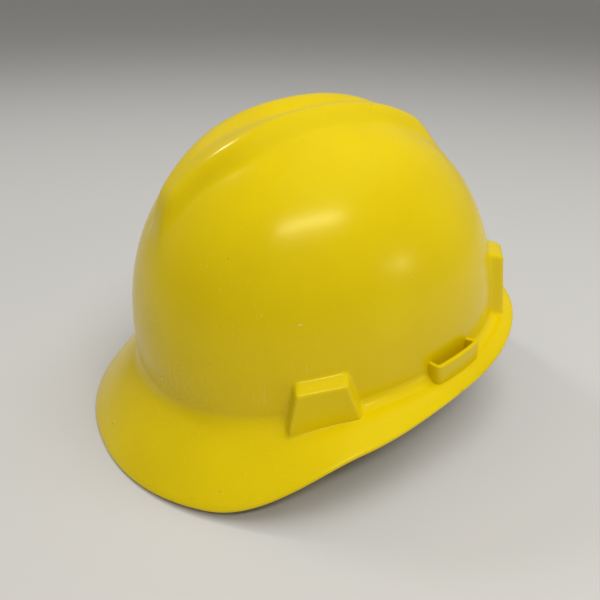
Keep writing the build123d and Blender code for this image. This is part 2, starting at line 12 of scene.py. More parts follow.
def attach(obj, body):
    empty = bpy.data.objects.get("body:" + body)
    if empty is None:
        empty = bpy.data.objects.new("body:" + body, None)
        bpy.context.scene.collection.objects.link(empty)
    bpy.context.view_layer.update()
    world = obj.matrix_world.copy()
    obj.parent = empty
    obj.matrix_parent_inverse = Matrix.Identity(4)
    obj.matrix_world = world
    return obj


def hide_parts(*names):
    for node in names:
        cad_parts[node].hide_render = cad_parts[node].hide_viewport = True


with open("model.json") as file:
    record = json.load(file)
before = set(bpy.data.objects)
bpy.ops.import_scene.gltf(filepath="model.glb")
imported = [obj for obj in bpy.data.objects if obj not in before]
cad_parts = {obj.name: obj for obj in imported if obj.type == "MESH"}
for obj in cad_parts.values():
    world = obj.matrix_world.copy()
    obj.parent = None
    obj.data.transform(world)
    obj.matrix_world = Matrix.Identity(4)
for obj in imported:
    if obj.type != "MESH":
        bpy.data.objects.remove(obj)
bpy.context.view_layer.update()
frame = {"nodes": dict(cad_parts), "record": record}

MM = 0.001

# ------------------------------------------------------------------ the hat's own level frame
# The record's head_opening mount gives it: its position is where the crown axis meets the brim line, and
# its axis points down out of the hat.  x is the wearer's left, y the rear, z up the crown.
mounts = {m["name"]: m for m in frame["record"]["mounts"]}
down = Vector(mounts["head_opening"]["axis"]).normalized()
hat_up = -down
hat_rear = hat_up.cross(Vector((1, 0, 0))).normalized()
HAT = Matrix.Translation(Vector(mounts["head_opening"]["pos_m"])) @ Matrix(
    ((1, hat_rear.x, hat_up.x), (0, hat_rear.y, hat_up.y), (0, hat_rear.z, hat_up.z))).to_4x4()
HAT_NP = np.array(HAT)


def to_row(points_mm):
    """Points in the hat's frame, in millimetres, as points in the row frame, in metres."""
    points = np.asarray(points_mm, float) * MM
    return points @ HAT_NP[:3, :3].T + HAT_NP[:3, 3]


# ------------------------------------------------------------------ sizes, in millimetres and degrees
CROWN_HALF_WIDTH = 97.0
CROWN_HALF_LENGTH = 119.5
CROWN_HEIGHT = 135.5
CROWN_POWER = 2.2
SHELL_WALL = 2.4
EDGE_WALL = 3.0
EDGE_LINES = 8               # the brim's outermost grid lines, over which the wall thickens to its edge
EDGE_ROUNDING = 0.9          # how far the edge's curve reaches out, as a share of a half circle

BRIM_FRONT_WIDTH = 35.3
BRIM_REAR_WIDTH = 14.4
BRIM_NARROWS = (34.0, 111.0)
BRIM_FRONT_DROP = 31.6
BRIM_SIDE_DROP = 8.1
BRIM_REAR_DROP = 1.1
BRIM_LIFTS = (36.0, 70.0)
BRIM_LEVELS = (100.0, 160.0)
BRIM_LINES = 15
BRIM_CROWNING = 4.8          # four times how far the brim's middle stands off a straight line
FOOT_Z = 3.5                 # the fillet between crown and brim starts here
FILLET_PULL_Z = 0.5          # the height its curve is pulled towards
LEAD = 5.0                   # and it ends this far out along the brim

RIDGE_HEIGHT = 6.3
RIDGE_HALF_WIDTHS = (10.0, 15.0)     # at the front end, where the two ridges meet, and along the top
RIDGE_CRESTS = (4.0, 15.5)           # how far each crest is from the middle plane, at the same two places
RIDGE_PARTS = (-98.0, -34.0)         # the stretch over which the two ridges part
RIDGE_VALLEY = (-75.0, 5.0)          # the stretch over which the valley between them deepens
RIDGE_FRONT = (-101.0, -80.0)
RIDGE_REAR = (62.0, 88.0)
RIDGE_LOWEST_Z = 50.0

ANCHOR_ANGLES = (61.0, 150.0)
BOSS_TOPS = (24.0, 43.5)
BOSS_FEET = (44.0, 28.0)
BOSS_HEADS = (31.0, 24.0)
BOSS_DEPTH = 7.5
BOSS_WALL = 2.2
BOSS_LEANS = (1.0, 3.0)      # how far the face leans in towards its top
BOSS_CRESTS = (4.4, 6.0)     # height over which the top rounds off

LOOP_ANGLE = 110.0
LOOP_HALF = 8.5              # degrees
LOOP_INSIDE = 0.9
LOOP_OUTSIDE = 4.7
LOOP_WALL = 2.8
LOOP_TOP = 9.5
LOOP_FOOT = -5.0             # the rib's wall starts inside the brim
LOOP_ROOT = -1.6             # and its ends stand this far inside the crown's outside
LOOP_MM_PER_DEGREE = 1.85

ANGLE_STEP = 0.5             # the shell's grid: degrees round it, and heights up it
FINE_STEP = 0.7
FINE_TO_Z = 12.0
BOSSES_TO_Z = 60.0
FLARE = np.array([0.35, LOOP_INSIDE, 1.6, 2.4, 3.2, 4.0, LOOP_OUTSIDE])


# ------------------------------------------------------------------ mesh helpers
def new_mesh(name, vertices, faces):
    mesh = bpy.data.meshes.new(name)
    mesh.from_pydata([tuple(v) for v in vertices], [], [tuple(f) for f in faces])
    mesh.validate()
    mesh.polygons.foreach_set("use_smooth", [True] * len(mesh.polygons))
    mesh.update()
    obj = bpy.data.objects.new(name, mesh)
    bpy.context.scene.collection.objects.link(obj)
    return obj


def tidy_normals(obj):
    work = bmesh.new()
    work.from_mesh(obj.data)
    bmesh.ops.recalc_face_normals(work, faces=work.faces)
    work.to_mesh(obj.data)
    work.free()


def smooth_step(u):
    u = np.clip(u, 0.0, 1.0)
    return u * u * (3 - 2 * u)


def between(span, value):
    """0 before the span, 1 after it, and a smooth step over it."""
    return smooth_step((value - span[0]) / (span[1] - span[0]))


# ------------------------------------------------------------------ the shell's surface

def plan_radius(angle):
    """From the crown axis to the crown's outside at the brim line, at this angle from the front."""
    a = np.radians(angle)
    across = np.abs(np.sin(a) / CROWN_HALF_WIDTH) ** CROWN_POWER
    along = np.abs(np.cos(a) / CROWN_HALF_LENGTH) ** CROWN_POWER
    return (across + along) ** (-1 / CROWN_POWER)


def folded(angle):
    """The angle from the front, 0 to 180, whichever side it is on."""
    return np.abs((angle + 180) % 360 - 180)


def brim_width(angle):
    wide = 1 - between(BRIM_NARROWS, folded(angle))
    return BRIM_REAR_WIDTH + (BRIM_FRONT_WIDTH - BRIM_REAR_WIDTH) * wide


def brim_drop(angle):
    a = folded(angle)
    side = (BRIM_SIDE_DROP - BRIM_REAR_DROP) * (1 - between(BRIM_LEVELS, a))
    front = (BRIM_FRONT_DROP - BRIM_SIDE_DROP) * (1 - between(BRIM_LIFTS, a))
    return BRIM_REAR_DROP + side + front


def ridge(x, y):
    """How far the pair of ridges stands off the crown here."""
    parted = between(RIDGE_PARTS, y)
    crest = RIDGE_CRESTS[0] + (RIDGE_CRESTS[1] - RIDGE_CRESTS[0]) * parted
    half_width = RIDGE_HALF_WIDTHS[0] + (RIDGE_HALF_WIDTHS[1] - RIDGE_HALF_WIDTHS[0]) * parted
    rise, fall = between(RIDGE_FRONT, y), between(RIDGE_REAR, y)
    off_crest = (np.abs(x) - crest) / half_width
    bulge = np.maximum(1 - off_crest ** 2, 0) ** 2
    bulge = np.where(np.abs(x) < crest, 1 - (1 - bulge) * between(RIDGE_VALLEY, y), bulge)
    return RIDGE_HEIGHT * rise * (1 - fall) * bulge


def crown_lines():
    """Heights of the crown's grid lines: close together where the bosses are, evenly spread above."""
    low = np.concatenate([np.arange(FOOT_Z, FINE_TO_Z, FINE_STEP), np.arange(FINE_TO_Z, BOSSES_TO_Z, 1.0)])
    t0 = math.asin((BOSSES_TO_Z / CROWN_HEIGHT) ** (CROWN_POWER / 2))
    turn = np.linspace(t0, math.radians(89.75), 74)
    high = CROWN_HEIGHT * np.sin(turn) ** (2 / CROWN_POWER)
    return np.concatenate([low, high])[::-1]


def profile_grid(angles):
    """Outside of the plain shell: radius and height for every grid line (rows) and angle (columns)."""
    reach = plan_radius(angles)
    heights = crown_lines()
    shrink = (1 - (heights / CROWN_HEIGHT) ** CROWN_POWER) ** (1 / CROWN_POWER)
    r = [s * reach for s in shrink]
    z = [np.full_like(reach, h) for h in heights]
    width, drop = brim_width(angles), brim_drop(angles)
    slope = np.hypot(width, drop)
    out, fall = width / slope, drop / slope
    r0, z0 = r[-1], z[-1]
    r2, z2 = reach + LEAD * out, -LEAD * fall
    for offset in FLARE:
        target = reach + offset * np.minimum(LEAD * out / (LOOP_OUTSIDE + 0.1), 1)
        a, b, c = r0 - 2 * reach + r2, 2 * (reach - r0), r0 - target
        u = (-b + np.sqrt(np.maximum(b * b - 4 * a * c, 0))) / (2 * a)
        r.append(target)
        z.append((1 - u) ** 2 * z0 + 2 * u * (1 - u) * FILLET_PULL_Z + u * u * z2)
    for u in np.linspace(0, 1, BRIM_LINES):
        crowned = BRIM_CROWNING * u * (1 - u)
        r.append(r2 + (reach + width - r2) * u + fall * crowned)
        z.append(z2 + (-drop - z2) * u + out * crowned)
    return np.array(r), np.array(z)


def facing(angle, side=1):
    """Where the crown meets the brim line at this angle, and the ways straight out of it and round it."""
    a = math.radians(angle)
    reach = float(plan_radius(np.array(angle)))
    x, y = side * reach * math.sin(a), -reach * math.cos(a)
    nx = math.copysign((abs(x) / CROWN_HALF_WIDTH) ** (CROWN_POWER - 1) / CROWN_HALF_WIDTH, x)
    ny = math.copysign((abs(y) / CROWN_HALF_LENGTH) ** (CROWN_POWER - 1) / CROWN_HALF_LENGTH, y)
    size = math.hypot(nx, ny)
    return np.array([x, y]), np.array([nx / size, ny / size]), np.array([-ny / size, nx / size])


def boss_push(r, z, angles, inset):
    """Pushes the grid out onto the anchor bosses' faces, or for the inside onto the hollows' faces."""
    pushed = r.copy()
    a = np.radians(angles)
    ex, ey = np.sin(a), -np.cos(a)
    for boss_angle, top, foot, head, leaning, rounding in zip(
            ANCHOR_ANGLES, BOSS_TOPS, BOSS_FEET, BOSS_HEADS, BOSS_LEANS, BOSS_CRESTS):
        for side in (-1, 1):
            base, out, along = facing(boss_angle, side)
            square = np.maximum(ex * out[0] + ey * out[1], 0.2)
            lean = np.clip(z / top, 0, 1)
            face = (base @ out + BOSS_DEPTH - inset - leaning * lean) / square
            half = (foot + (head - foot) * lean) / 2 - inset
            aside = np.abs(face * (ex * along[0] + ey * along[1]) - base @ along)
            flank = smooth_step((half + 1.0 - aside) / 4.4)
            crest = smooth_step((top + 0.6 - inset - z) / rounding)
            near = square > 0.7
            gain = np.where(near & (face > r), (face - r) * flank * crest, 0.0)
            pushed = np.maximum(pushed, r + gain)
    return pushed


def build_shell():
    """The moulding without its slots' ribs, as one grid: down the outside, round the edge, up the inside."""
    angles = np.arange(0, 360, ANGLE_STEP)
    r, z = profile_grid(angles)
    dr, dz = np.gradient(r, axis=0), np.gradient(z, axis=0)
    run = np.hypot(dr, dz)
    nr, nz = -dz / run, dr / run
    x, y = r * np.sin(np.radians(angles)), -r * np.cos(np.radians(angles))
    lift = np.where(z > RIDGE_LOWEST_Z, ridge(x, y), 0.0)
    outer_r, outer_z = r + lift * nr, z + lift * nz
    wall = np.full(r.shape[0], SHELL_WALL)
    wall[-EDGE_LINES:] = np.linspace(SHELL_WALL, EDGE_WALL, EDGE_LINES)
    inner_r, inner_z = outer_r - wall[:, None] * nr, outer_z - wall[:, None] * nz
    outer_r = boss_push(outer_r, outer_z, angles, 0.0)
    inner_r = boss_push(inner_r, inner_z, angles, BOSS_WALL)
    # the brim's edge, rounded: a half circle from the outside to the inside
    mid_r, mid_z = (outer_r[-1] + inner_r[-1]) / 2, (outer_z[-1] + inner_z[-1]) / 2
    half_r, half_z = outer_r[-1] - mid_r, outer_z[-1] - mid_z
    out_r, out_z = half_z, -half_r
    rows_r, rows_z = list(outer_r), list(outer_z)
    for turn in np.radians([30, 60, 90, 120, 150]):
        rows_r.append(mid_r + half_r * np.cos(turn) + out_r * np.sin(turn) * EDGE_ROUNDING)
        rows_z.append(mid_z + half_z * np.cos(turn) + out_z * np.sin(turn) * EDGE_ROUNDING)
    rows_r += list(inner_r[::-1])
    rows_z += list(inner_z[::-1])
    rows_r, rows_z = np.array(rows_r), np.array(rows_z)
    s, c = np.sin(np.radians(angles)), np.cos(np.radians(angles))
    points = np.stack([rows_r * s, -rows_r * c, rows_z], axis=-1)
    rows, cols = rows_r.shape
    lines = r.shape[0]
    first_lead = len(crown_lines())
    slot_rows = (first_lead + 1, first_lead + 6)
    mirror_rows = (rows - 1 - slot_rows[1], rows - 1 - slot_rows[0])

    def in_slot(row, col):
        angle = folded(angles[col] + ANGLE_STEP / 2)
        in_rows = slot_rows[0] <= row < slot_rows[1] or mirror_rows[0] <= row < mirror_rows[1]
        return in_rows and abs(angle - LOOP_ANGLE) < LOOP_HALF

    faces = []
    for row in range(rows - 1):
        for col in range(cols):
            if not in_slot(row, col):
                nxt = (col + 1) % cols
                faces.append((row * cols + col, (row + 1) * cols + col,
                              (row + 1) * cols + nxt, row * cols + nxt))
    vertices = to_row(points.reshape(-1, 3))
    top = len(vertices)
    vertices = np.vstack([vertices, to_row([[0, 0, CROWN_HEIGHT], [0, 0, CROWN_HEIGHT - SHELL_WALL]])])
    for col in range(cols):
        nxt = (col + 1) % cols
        faces.append((top, col, nxt))
        faces.append((top + 1, (rows - 1) * cols + nxt, (rows - 1) * cols + col))
    # walls of the two slots through the brim
    lo = int(round((LOOP_ANGLE - LOOP_HALF) / ANGLE_STEP))
    hi = int(round((LOOP_ANGLE + LOOP_HALF) / ANGLE_STEP))
    for start, end in ((lo, hi), (cols - hi, cols - lo)):
        for k in (0, 1):
            row, other = slot_rows[k], rows - 1 - slot_rows[k]
            for col in range(start, end):
                quad = (row * cols + col, row * cols + col + 1,
                        other * cols + col + 1, other * cols + col)
                faces.append(quad if k else quad[::-1])
        for row in range(*slot_rows):
            mate = rows - 1 - row
            for col in (start, end):
                quad = (row * cols + col, (row + 1) * cols + col,
                        (mate - 1) * cols + col, mate * cols + col)
                faces.append(quad if col == start else quad[::-1])
    shell = new_mesh("shell_moulding", vertices, faces)
    # a mask of the brim's rounded edge, for its nicks
    mask = np.zeros((len(vertices), 4), np.float32)
    mask[:, 3] = 1
    edge_rows = [(lines - 2, 0.5)] + [(lines + k, 1.0) for k in range(-1, 6)] + [(lines + 6, 0.5)]
    for row, value in edge_rows:
        mask[row * cols:(row + 1) * cols, :3] = value
    layer = shell.data.color_attributes.new("edge", "FLOAT_COLOR", "POINT")
    layer.data.foreach_set("color", mask.ravel())
    return shell


def build_loop(side):
    """The open rib round an accessory slot: a bent wall that stands on the brim with both ends in the crown."""
    def at(angle, offset):
        reach = float(plan_radius(np.array(angle))) + offset
        a = math.radians(angle)
        return (side * reach * math.sin(a), -reach * math.cos(a))

    def path(offset, half, corner):
        """From the crown, out, along and back in, with its two corners rounded."""
        bend = corner / LOOP_MM_PER_DEGREE
        points = [at(LOOP_ANGLE - half, LOOP_ROOT)]
        for i in range(5):
            b = math.pi / 2 * i / 4
            points.append(at(LOOP_ANGLE - half + bend * (1 - math.cos(b)), offset - corner * (1 - math.sin(b))))
        for i in range(1, 12):
            points.append(at(LOOP_ANGLE - half + bend + (2 * half - 2 * bend) * i / 12, offset))
        for i in range(5):
            b = math.pi / 2 * (1 - i / 4)
            points.append(at(LOOP_ANGLE + half - bend * (1 - math.cos(b)), offset - corner * (1 - math.sin(b))))
        points.append(at(LOOP_ANGLE + half, LOOP_ROOT))
        return points

    turn = LOOP_WALL / LOOP_MM_PER_DEGREE
    outer = path(LOOP_OUTSIDE + LOOP_WALL, LOOP_HALF + turn, 3.0)
    inner = path(LOOP_OUTSIDE, LOOP_HALF, 0.8)
    ring = outer + inner[::-1]
    count = len(ring)
    vertices = [(x, y, LOOP_FOOT) for x, y in ring] + [(x, y, LOOP_TOP) for x, y in ring]
    half = len(outer)
    faces = [(i, (i + 1) % count, count + (i + 1) % count, count + i) for i in range(count)]
    for i in range(half - 1):
        j = count - 1 - i
        faces.append((count + i, count + i + 1, count + j - 1, count + j))
        faces.append((i + 1, i, j, j - 1))
    name = "shell_slot_rib_left" if side > 0 else "shell_slot_rib_right"
    rib = new_mesh(name, to_row(vertices), faces)
    tidy_normals(rib)
    bevel = rib.modifiers.new("rounded", "BEVEL")
    bevel.width = 0.9 * MM
    bevel.segments = 3
    bevel.limit_method = "ANGLE"
    bevel.angle_limit = math.radians(50)
    return rib


# ------------------------------------------------------------------ suspension sizes, as in the CAD
SOCKET = BOSS_DEPTH - BOSS_WALL         # from the crown's outside to the wall that a key's tongue bears on
KEY_LIFTS = (0.0, 21.0)
STRAP_THICK = 1.2
STRAP_FOOT_Z = 14.0
STRAP_TOP_Z = 104.0
STRAP_GAP = 0.8
STRAP_FULLNESS = 0.92
STRAP_INSET = 22.5
STRAP_FOLD = 24.0                       # how far up, in degrees of the arch, an end is turned back
STRAP_OUTER, STRAP_INNER = 0.62, -0.55  # the strap's and its turned-back end's middles, off the arch
STITCH_HALF = 6.5
STITCH_PITCH = 2.4

BAND_HALF_WIDTH, BAND_FRONT = 77.0, 98.0
BAND_THICK = 1.8
BAND_BOTTOM = -13.0
PAD_GAP = 0.3
PAD_THICK = 3.4
PAD_HEIGHT, PAD_MIDDLE = 26.0, 12.0     # the brow pad's, and its middle above the band's bottom
NAPE_PAD_HEIGHT, NAPE_PAD_MIDDLE = 44.0, -11.0
CROWN_PAD_RADIUS = 24.0
CRADLE_INNER = 73.4

KNOB_BASE, KNOB_TOP = 88.9, 105.0
KNOB_LOBES = 12
KNOB_LOBE_DEPTH = 1.7

joints = {j["name"]: j for j in frame["record"]["behaviour"]["joints"]}
nape_up = Vector(joints["left_arm_slide"]["axis"]).normalized()
nape_rear = -Vector(joints["knob_turn"]["axis"]).normalized()
nape_left = nape_rear.cross(nape_up)
NAPE_NP = np.array([list(nape_left), list(nape_rear), list(nape_up)])
NAPE_CENTRE = np.array(joints["left_arm_slide"]["pos_m"])


def nape_to_row(points_mm):
    """Points in the nape's frame (left, rearward along the knob's axle, up), in mm, in the row frame."""
    return np.asarray(points_mm, float) * MM @ NAPE_NP + NAPE_CENTRE


def loft(name, rings, closed=True, caps=True, uv=None):
    """A skin over rings of equally many points.  uv gives each ring's place along, in millimetres."""
    rings = np.asarray(rings)
    count, size = rings.shape[:2]
    faces = []
    for i in range(count - 1):
        for j in range(size if closed else size - 1):
            k = (j + 1) % size
            faces.append((i * size + j, i * size + k, (i + 1) * size + k, (i + 1) * size + j))
    if caps:
        faces.append(tuple(range(size))[::-1])
        faces.append(tuple((count - 1) * size + j for j in range(size)))
    obj = new_mesh(name, rings.reshape(-1, 3), faces)
    if uv is not None:
        layer = obj.data.uv_layers.new(name="along")
        across = uv[1]
        for loop in obj.data.loops:
            i, j = divmod(loop.vertex_index, size)
            layer.data[loop.index].uv = (uv[0][i], across[j])
    tidy_normals(obj)
    return obj


def join(name, objects):
    bpy.ops.object.select_all(action="DESELECT")
    for obj in objects:
        obj.select_set(True)
    bpy.context.view_layer.objects.active = objects[0]
    bpy.ops.object.join()
    objects[0].name = name
    return objects[0]


# ------------------------------------------------------------------ crown webbing
def strap_line(front_angle, rear_angle, top_z):
    """A crown strap's middle line, its sideways direction and its outward direction, for t from 0 to 180."""
    feet = []
    for angle in (front_angle, rear_angle):
        base, out, along = facing(abs(angle), 1 if angle > 0 else -1)
        foot_z = STRAP_FOOT_Z + KEY_LIFTS[abs(angle) > 90]
        feet.append((base + out * (SOCKET - STRAP_INSET), along, foot_z))
    (start, turn_front, z_front), (end, turn_rear, z_rear) = feet
    middle = start + (end - start) * (start[0] / (start[0] - end[0]))
    reach_front, reach_rear = np.linalg.norm(middle - start), np.linalg.norm(end - middle)
    along = (end - start) / np.linalg.norm(end - start)
    across = np.array([along[1], -along[0]])

    def at(t):
        a = math.radians(min(max(t, 0.0), 180.0))
        foot, reach = (z_front, reach_front) if t < 90 else (z_rear, reach_rear)
        s = -math.copysign(abs(math.cos(a)) ** STRAP_FULLNESS, math.cos(a)) * reach
        z = foot + (top_z - foot) * abs(math.sin(a)) ** STRAP_FULLNESS
        return np.array([middle[0] + along[0] * s, middle[1] + along[1] * s, z])

    def frame_at(t):
        ahead = at(t + 0.4) - at(t - 0.4)
        ahead /= np.linalg.norm(ahead)
        end_turn = turn_front if t < 90 else turn_rear
        if end_turn @ across < 0:
            end_turn = -end_turn
        share = float(smooth_step(np.array(min(t, 180 - t) / 30.0)))
        side = across * share + end_turn * (1 - share)
        side = np.array([side[0], side[1], 0.0])
        side -= ahead * (side @ ahead)
        side /= np.linalg.norm(side)
        out = np.cross(ahead, side)
        out = out if out[2] > 0 or abs(out[2]) < 0.3 and out @ np.array([*at(t)[:2], 0.0]) > 0 else -out
        return at(t), side, out
    return frame_at


def strap_section():
    """Half-width and half-thickness offsets of the webbing, with a slightly thicker woven edge."""
    across = np.array([-9.5, -9.3, -8.6, -8.0, -4, 0, 4, 8.0, 8.6, 9.3, 9.5])
    high = np.array([0.05, 0.5, 0.62, 0.5, 0.5, 0.5, 0.5, 0.5, 0.62, 0.5, 0.05])
    top = list(zip(across, high))
    return np.array(top + [(u, -h) for u, h in top[::-1]])


def sweep_strap(name, frame_at, t0, t1, offset):
    section = strap_section()
    rings, runs, run, last = [], [], 0.0, None
    for t in np.arange(t0, t1 + 0.01, 1.0):
        place, side, out = frame_at(t)
        centre = place + out * offset
        run += 0 if last is None else float(np.linalg.norm(centre - last))
        last = centre
        runs.append(run)
        rings.append(to_row(centre + section[:, :1] * side + section[:, 1:] * out))
    return loft(name, rings, uv=(runs, section[:, 0]))


def strap_turn(name, angle):
    """The flat turn of webbing through a key's slot and over the bar above it."""
    base, out, along = facing(abs(angle), 1 if angle > 0 else -1)
    lift = KEY_LIFTS[abs(angle) > 90]
    section = strap_section()
    inner, outer = SOCKET - STRAP_INSET + 0.1, SOCKET - 13.1
    path = np.array([(inner, 15.5), (inner + 0.6, 14.2), (inner + 2.2, 13.5), (outer - 2.0, 13.4),
                     (outer - 0.6, 14.0), (outer, 15.4), (outer, 18.6), (outer - 0.6, 20.6),
                     (outer - 2.2, 21.4), (outer - 4.2, 21.4), (inner + 2.6, 20.9), (inner + 0.9, 19.8),
                     (inner + 0.1, 17.8), (inner, 15.5)])
    fine = []
    for (a, b), (c, d) in zip(path[:-1], path[1:]):
        fine += [(a + (c - a) * k / 3, b + (d - b) * k / 3) for k in range(3)]
    fine = np.array(fine + [path[-1]])
    rings, runs, run = [], [], 0.0
    for i, (r, z) in enumerate(fine):
        before, after = fine[max(i - 1, 0)], fine[min(i + 1, len(fine) - 1)]
        step = after - before
        step = step / np.linalg.norm(step)
        run += 0 if i == 0 else float(np.linalg.norm(fine[i] - fine[i - 1]))
        runs.append(run)
        centre = np.array([base[0] + out[0] * r, base[1] + out[1] * r, z + lift])
        side = np.array([along[0], along[1], 0.0])
        normal = np.array([-out[0] * step[1], -out[1] * step[1], step[0]])
        rings.append(to_row(centre + section[:, :1] * side + section[:, 1:] * normal))
    return loft(name, rings, uv=(runs, section[:, 0]))


def build_strap(name, front_angle, rear_angle, top_z):
    """A crown strap with both ends turned back, and its middle line."""
    frame_at = strap_line(front_angle, rear_angle, top_z)
    pieces = [sweep_strap(name, frame_at, 0, 180, STRAP_OUTER),
              sweep_strap("fold_a", frame_at, 0, STRAP_FOLD, STRAP_INNER),
              sweep_strap("fold_b", frame_at, 180 - STRAP_FOLD, 180, STRAP_INNER),
              strap_turn("turn_a", front_angle), strap_turn("turn_b", rear_angle)]
    return join(name, pieces), frame_at


def build_stitches(name, frames):
    """Box-and-cross stitching through each doubled end, as rows of short raised threads."""
    threads = []
    for frame_at in frames:
        for t0, t1 in ((10.0, 21.5), (158.5, 170.0)):
            s = STITCH_HALF
            box = [((t0, -s), (t0, s)), ((t1, -s), (t1, s)), ((t0, -s), (t1, -s)), ((t0, s), (t1, s)),
                   ((t0, -s), (t1, s)), ((t0, s), (t1, -s))]
            for (ta, ua), (tb, ub) in box:
                place_a, side_a, _ = frame_at(ta)
                place_b, side_b, _ = frame_at(tb)
                length = np.linalg.norm((place_a + side_a * ua) - (place_b + side_b * ub))
                count = max(int(length / STITCH_PITCH), 2)
                for i in range(count):
                    ends = []
                    for share in ((i + 0.12) / count, (i + 0.88) / count):
                        place, side, out = frame_at(ta + (tb - ta) * share)
                        ends.append((place + side * (ua + (ub - ua) * share) + out * 1.24, side, out))
                    threads.append(ends)
    rings_all, faces = [], []
    size = 6
    for (a, side, out), (b, _, _) in threads:
        along = (b - a) / np.linalg.norm(b - a)
        wide = np.cross(along, out)
        start = len(rings_all)
        for share, radius in ((0.0, 0.08), (0.18, 0.24), (0.82, 0.24), (1.0, 0.08)):
            centre = a + (b - a) * share - out * (0.12 if radius < 0.1 else 0.0)
            for k in range(size):
                turn = 2 * math.pi * k / size
                rings_all.append(centre + (wide * math.cos(turn) * 1.3 + out * math.sin(turn)) * radius)
        for ring in range(3):
            for k in range(size):
                m = (k + 1) % size
                faces.append((start + ring * size + k, start + ring * size + m,
                              start + (ring + 1) * size + m, start + (ring + 1) * size + k))
        faces.append(tuple(start + k for k in range(size))[::-1])
        faces.append(tuple(start + 3 * size + k for k in range(size)))
    obj = new_mesh(name, to_row(rings_all), faces)
    tidy_normals(obj)
    return obj


# ------------------------------------------------------------------ pads
def pad_section(height, thick, steps=22):
    """Outline of a foam pad's section: flat on the side that rests, crowned on the other, thin at its seams."""
    points = []
    for i in range(steps + 1):
        u = -1 + 2 * i / steps
        seam = 1 - 0.32 * math.exp(-((abs(u) - 0.80) / 0.045) ** 2)
        points.append((u * height / 2, thick * (0.30 + 0.70 * (1 - abs(u) ** 5) ** 0.6) * seam))
    points = [(-height / 2, 0.0)] + points + [(height / 2, 0.0)]
    rest = [(height / 2 * (1 - 2 * i / 8), -0.02) for i in range(1, 8)]
    return np.array(points + rest)


def rounded_end(near_end):
    """The share of its full thickness that a pad has near an end, from 0 at the end to 1 where it is full."""
    return 1.0 if near_end >= 1 else 0.25 + 0.75 * math.sqrt(max(1 - (1 - near_end) ** 2, 0))


def build_brow_pad():
    """Sweatband round the inside of the headband's front, crowned, with a sewn channel along each edge."""
    half, front = BAND_HALF_WIDTH - BAND_THICK - PAD_GAP, BAND_FRONT - BAND_THICK - PAD_GAP
    section = pad_section(PAD_HEIGHT, PAD_THICK)
    rings = []
    for i in range(181):
        a = math.radians(-90 + i)
        x, y = half * math.sin(a), -front * math.cos(a)
        inward = np.array([-x / half ** 2, -y / front ** 2])
        inward /= np.linalg.norm(inward)
        near_end = min(i, 180 - i) / 5.0
        quilt = 1 - 0.10 * math.exp(-(((i % 15) - 7.5) / 1.1) ** 2) * (abs(section[:, 0]) < 9.4)
        thick = section[:, 1] * rounded_end(near_end) * quilt
        high = section[:, 0] * (0.93 + 0.07 * min(near_end, 1))
        rings.append(np.stack([x + inward[0] * thick, y + inward[1] * thick,
                               BAND_BOTTOM + PAD_MIDDLE + high], axis=-1))
    return loft("sweatband_pad", [to_row(r) for r in rings])


def build_nape_pad():
    """Foam pad inside the nape cradle."""
    section = pad_section(NAPE_PAD_HEIGHT, PAD_THICK)
    rings = []
    for i in range(137):
        a = math.radians(-34 + i * 0.5)
        near_end = min(i, 136 - i) / 9.0
        quilt = 1 - 0.14 * math.exp(-((i % 34) / 1.6) ** 2) * (abs(section[:, 0]) < 16)
        radius = CRADLE_INNER - PAD_GAP - section[:, 1] * rounded_end(near_end) * quilt
        high = section[:, 0] * (0.9 + 0.1 * min(near_end, 1))
        rings.append(np.stack([radius * math.sin(a), radius * math.cos(a), NAPE_PAD_MIDDLE + high], axis=-1))
    return loft("nape_foam", [nape_to_row(r) for r in rings])


def build_crown_pad(crossing_y):
    """Round foam pad under the crossing of the straps, pillowed, with a sewn ring."""
    rings, base = [], STRAP_TOP_Z - 9.5
    profile = []
    for i in range(25):
        u = i / 24
        seam = 1 - 0.30 * math.exp(-((u - 0.78) / 0.05) ** 2)
        profile.append((CROWN_PAD_RADIUS * u, (0.35 + 1.65 * (1 - u ** 4) ** 0.6) * seam))
    outline = profile + [(CROWN_PAD_RADIUS, 0.0)] + [(r, -h) for r, h in profile[::-1]]
    for j in range(72):
        a = 2 * math.pi * j / 72
        rings.append([(max(r, 0.05) * math.cos(a), crossing_y + max(r, 0.05) * math.sin(a), base + 2.0 + h)
                      for r, h in outline])
    rings.append(rings[0])
    return loft("crown_foam", [to_row(r) for r in rings], closed=False, caps=False)


